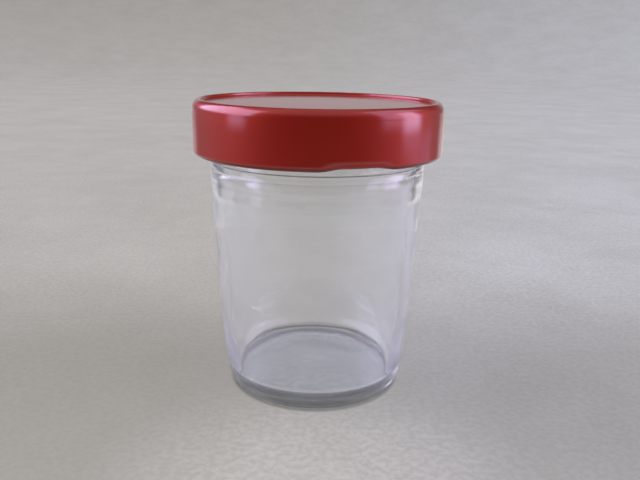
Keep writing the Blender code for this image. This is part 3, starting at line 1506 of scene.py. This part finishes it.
@dataclass
class Studio:
    """A round paper sweep in a quiet room, with soft lamps at the sides and bright paper behind.

    Each colour of the room's light has the limits, in degrees, between which it sets in.
    """

    mat_radius: float = 0.13
    mat_drop: float = 0.02 * MM
    mat_spans: int = 6
    floor_radius: float = 1.2
    floor_spans: int = 6
    cove: float = 1.2
    cove_spans: int = 24
    rim_height: float = 1.5
    spans_round: int = 96
    crease: float = math.radians(60)
    front: Triple = (0.05, 0.05, 0.05)
    beside: Triple = (0.33, 0.32, 0.33)
    beside_from: Limits = (25.0, 95.0)
    corner: Triple = (0.17, 0.16, 0.17)
    corner_from: Limits = (100.0, 138.0)
    back: Triple = (0.46, 0.45, 0.46)
    back_from: Limits = (142.0, 162.0)
    top: Triple = (0.55, 0.54, 0.56)
    top_from: Limits = (20.0, 50.0)
    floor: Triple = (0.68, 0.68, 0.69)
    floor_from: Limits = (-10.0, -16.0)
    violet: Triple = (0.76, 0.64, 1.0)
    lilac: Triple = (0.66, 0.66, 1.0)
    plain: Triple = (1.0, 0.96, 0.99)
    cool: Triple = (0.9, 0.93, 1.0)

    def sweep(self) -> Piece:
        """Turns the far paper: a flat floor that curves up into a wall all round.

        Returns:
            The finished paper.
        """
        centre = (self.floor_radius, self.cove)
        floor = spaced(self.mat_radius, self.floor_radius, self.floor_spans)[:-1]
        profile = [(radius, -self.mat_drop) for radius in floor]
        profile += arc(centre, (self.cove, self.cove), -90, 0, self.cove_spans)
        profile += [(self.floor_radius + self.cove, self.rim_height)]
        paper = Piece.turned("paper_sweep", profile, self.spans_round)
        paper.smooth(self.crease)
        paper.dress(StudioPaper("far_paper", far=True).material())
        paper.item.visible_diffuse = False
        paper.item.visible_shadow = False
        return paper

    def mat(self) -> Piece:
        """Turns the near paper, which the jar stands on and reflects.

        Returns:
            The finished paper.
        """
        radii = spaced(0.0, self.mat_radius, self.mat_spans)
        profile = [(radius, -self.mat_drop) for radius in radii]
        paper = Piece.turned("paper_mat", profile, self.spans_round)
        paper.dress(StudioPaper("near_paper", far=False).material())
        return paper

    def lamps(self) -> list[SoftBox]:
        """Lists the lamps at the sides and the bright patches of paper.

        Returns:
            The lights, each laid over those before it.
        """
        return [
            SoftBox("wing at the right", (58.0, 86.0), (-1.0, 40.0), 2.6, self.violet),
            SoftBox("strip at the right", (80.0, 101.0), (-5.0, 40.0), 6.0, self.violet),
            SoftBox("lamp at the left", (-132.0, -60.0), (8.0, 50.0), 5.4, self.lilac),
            SoftBox("strip low at the left", (-84.0, -66.0), (-2.0, 8.0), 3.6, self.violet),
            SoftBox("lamp high at the right", (60.0, 120.0), (32.0, 60.0), 2.6, self.lilac),
            SoftBox("floor at the right", (90.0, 120.0), (-16.0, -6.0), 1.0, self.violet),
            SoftBox("paper behind, right", (140.0, 176.0), (-14.0, -4.0), 0.85, self.plain),
            SoftBox("paper behind, left", (-176.0, -140.0), (-14.0, -4.0), 0.62, self.plain),
        ]

    def wall(self) -> SoftBox:
        """Returns the dim wall above the paper behind the jar, the same at right and left."""
        return SoftBox("wall behind", (128.0, 190.0), (14.0, 60.0), 0.07, self.cool)

    def air(self) -> None:
        """Fills the room with light: dim in front, pale behind, and lamps at the sides."""
        world = bpy.data.worlds.new("studio_air")
        bpy.context.scene.world = world
        world.use_nodes = True
        sheet = NodeSheet(world.node_tree)
        direction = sheet.node("ShaderNodeTexCoord", {}, {}, "Generated")
        along, away, up = sheet.split(direction)
        bearing = along.maths("ARCTAN2", along, -1.0 * away) * math.degrees(1.0)
        rise = up.maths("ARCSINE", up) * math.degrees(1.0)
        turn = abs(bearing)
        air: Value = self.front
        for share, light in (
            (turn.eased(*self.beside_from), self.beside),
            (turn.eased(*self.corner_from), self.corner),
            (turn.eased(*self.back_from), self.back),
            (rise.eased(*self.top_from), self.top),
            (rise.eased(*self.floor_from), self.floor),
        ):
            air = sheet.blend(share, air, light)
        air = self.wall().added_to(air, turn, rise)
        for lamp in self.lamps():
            air = lamp.added_to(air, bearing, rise)
            LOG.info("light: %s", lamp.name)
        background = sheet.node("ShaderNodeBackground", {}, {"Color": air, "Strength": 1.0})
        out = sheet.tree.nodes.new("ShaderNodeOutputWorld")
        sheet.tree.links.new(background.socket, out.inputs["Surface"])

    def build(self) -> None:
        """Sets the stage."""
        self.sweep()
        self.mat()
        self.air()
        LOG.info("studio: sweep, mat and air")


@dataclass(frozen=True)
class PhotoCamera:
    """The camera, where a pinhole fitted to the photograph's circles puts it."""

    place: Triple = (0.84 * MM, -138.685 * MM, 70.075 * MM)
    pitch_down: float = math.radians(15.86)
    roll: float = math.radians(1.01)
    focal_pixels: float = 670.0
    frame_width: float = 640.0
    sensor: float = 36.0
    clip: Limits = (5.0 * MM, 10.0)

    def build(self) -> None:
        """Adds the camera and makes it the scene's own."""
        level = Matrix.Rotation(math.radians(90) - self.pitch_down, 3, "X")
        rotation = (level @ Matrix.Rotation(self.roll, 3, "Z")).to_euler()
        bpy.ops.object.camera_add(location=self.place, rotation=rotation)
        camera = bpy.context.object
        camera.name = "photo_camera"
        camera.data.sensor_width = self.sensor
        camera.data.lens = self.sensor * self.focal_pixels / self.frame_width
        camera.data.clip_start, camera.data.clip_end = self.clip
        bpy.context.scene.camera = camera
        LOG.info("camera: lens %.1f mm", camera.data.lens)


def set_light_paths() -> None:
    """Gives glass the bounces that it needs, and keeps the picture's colours plain."""
    scene = bpy.context.scene
    scene.cycles.max_bounces = 24
    scene.cycles.transmission_bounces = 20
    scene.cycles.glossy_bounces = 8
    scene.cycles.transparent_max_bounces = 24
    scene.cycles.caustics_refractive = False
    scene.cycles.caustics_reflective = False
    scene.cycles.use_denoising = True
    scene.view_settings.view_transform = "Standard"
    scene.view_settings.look = "None"


def main() -> None:
    """Builds the jar, its cap and the seal, then the studio and the camera."""
    logging.basicConfig(level=logging.INFO, format="%(message)s")
    cap_low, cap_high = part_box("cap")
    ring_low, ring_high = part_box("cap_liner")
    GlassJar(lip_height=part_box("jar")[1].z).build()
    TwistOffCap(radius=cap_high.x, top=cap_high.z, bottom=cap_low.z).build()
    SealingRing(outer=ring_high.x, bottom=ring_low.z, top=ring_high.z).build()
    Studio().build()
    PhotoCamera().build()
    set_light_paths()


if __name__ == "__main__":
    main()
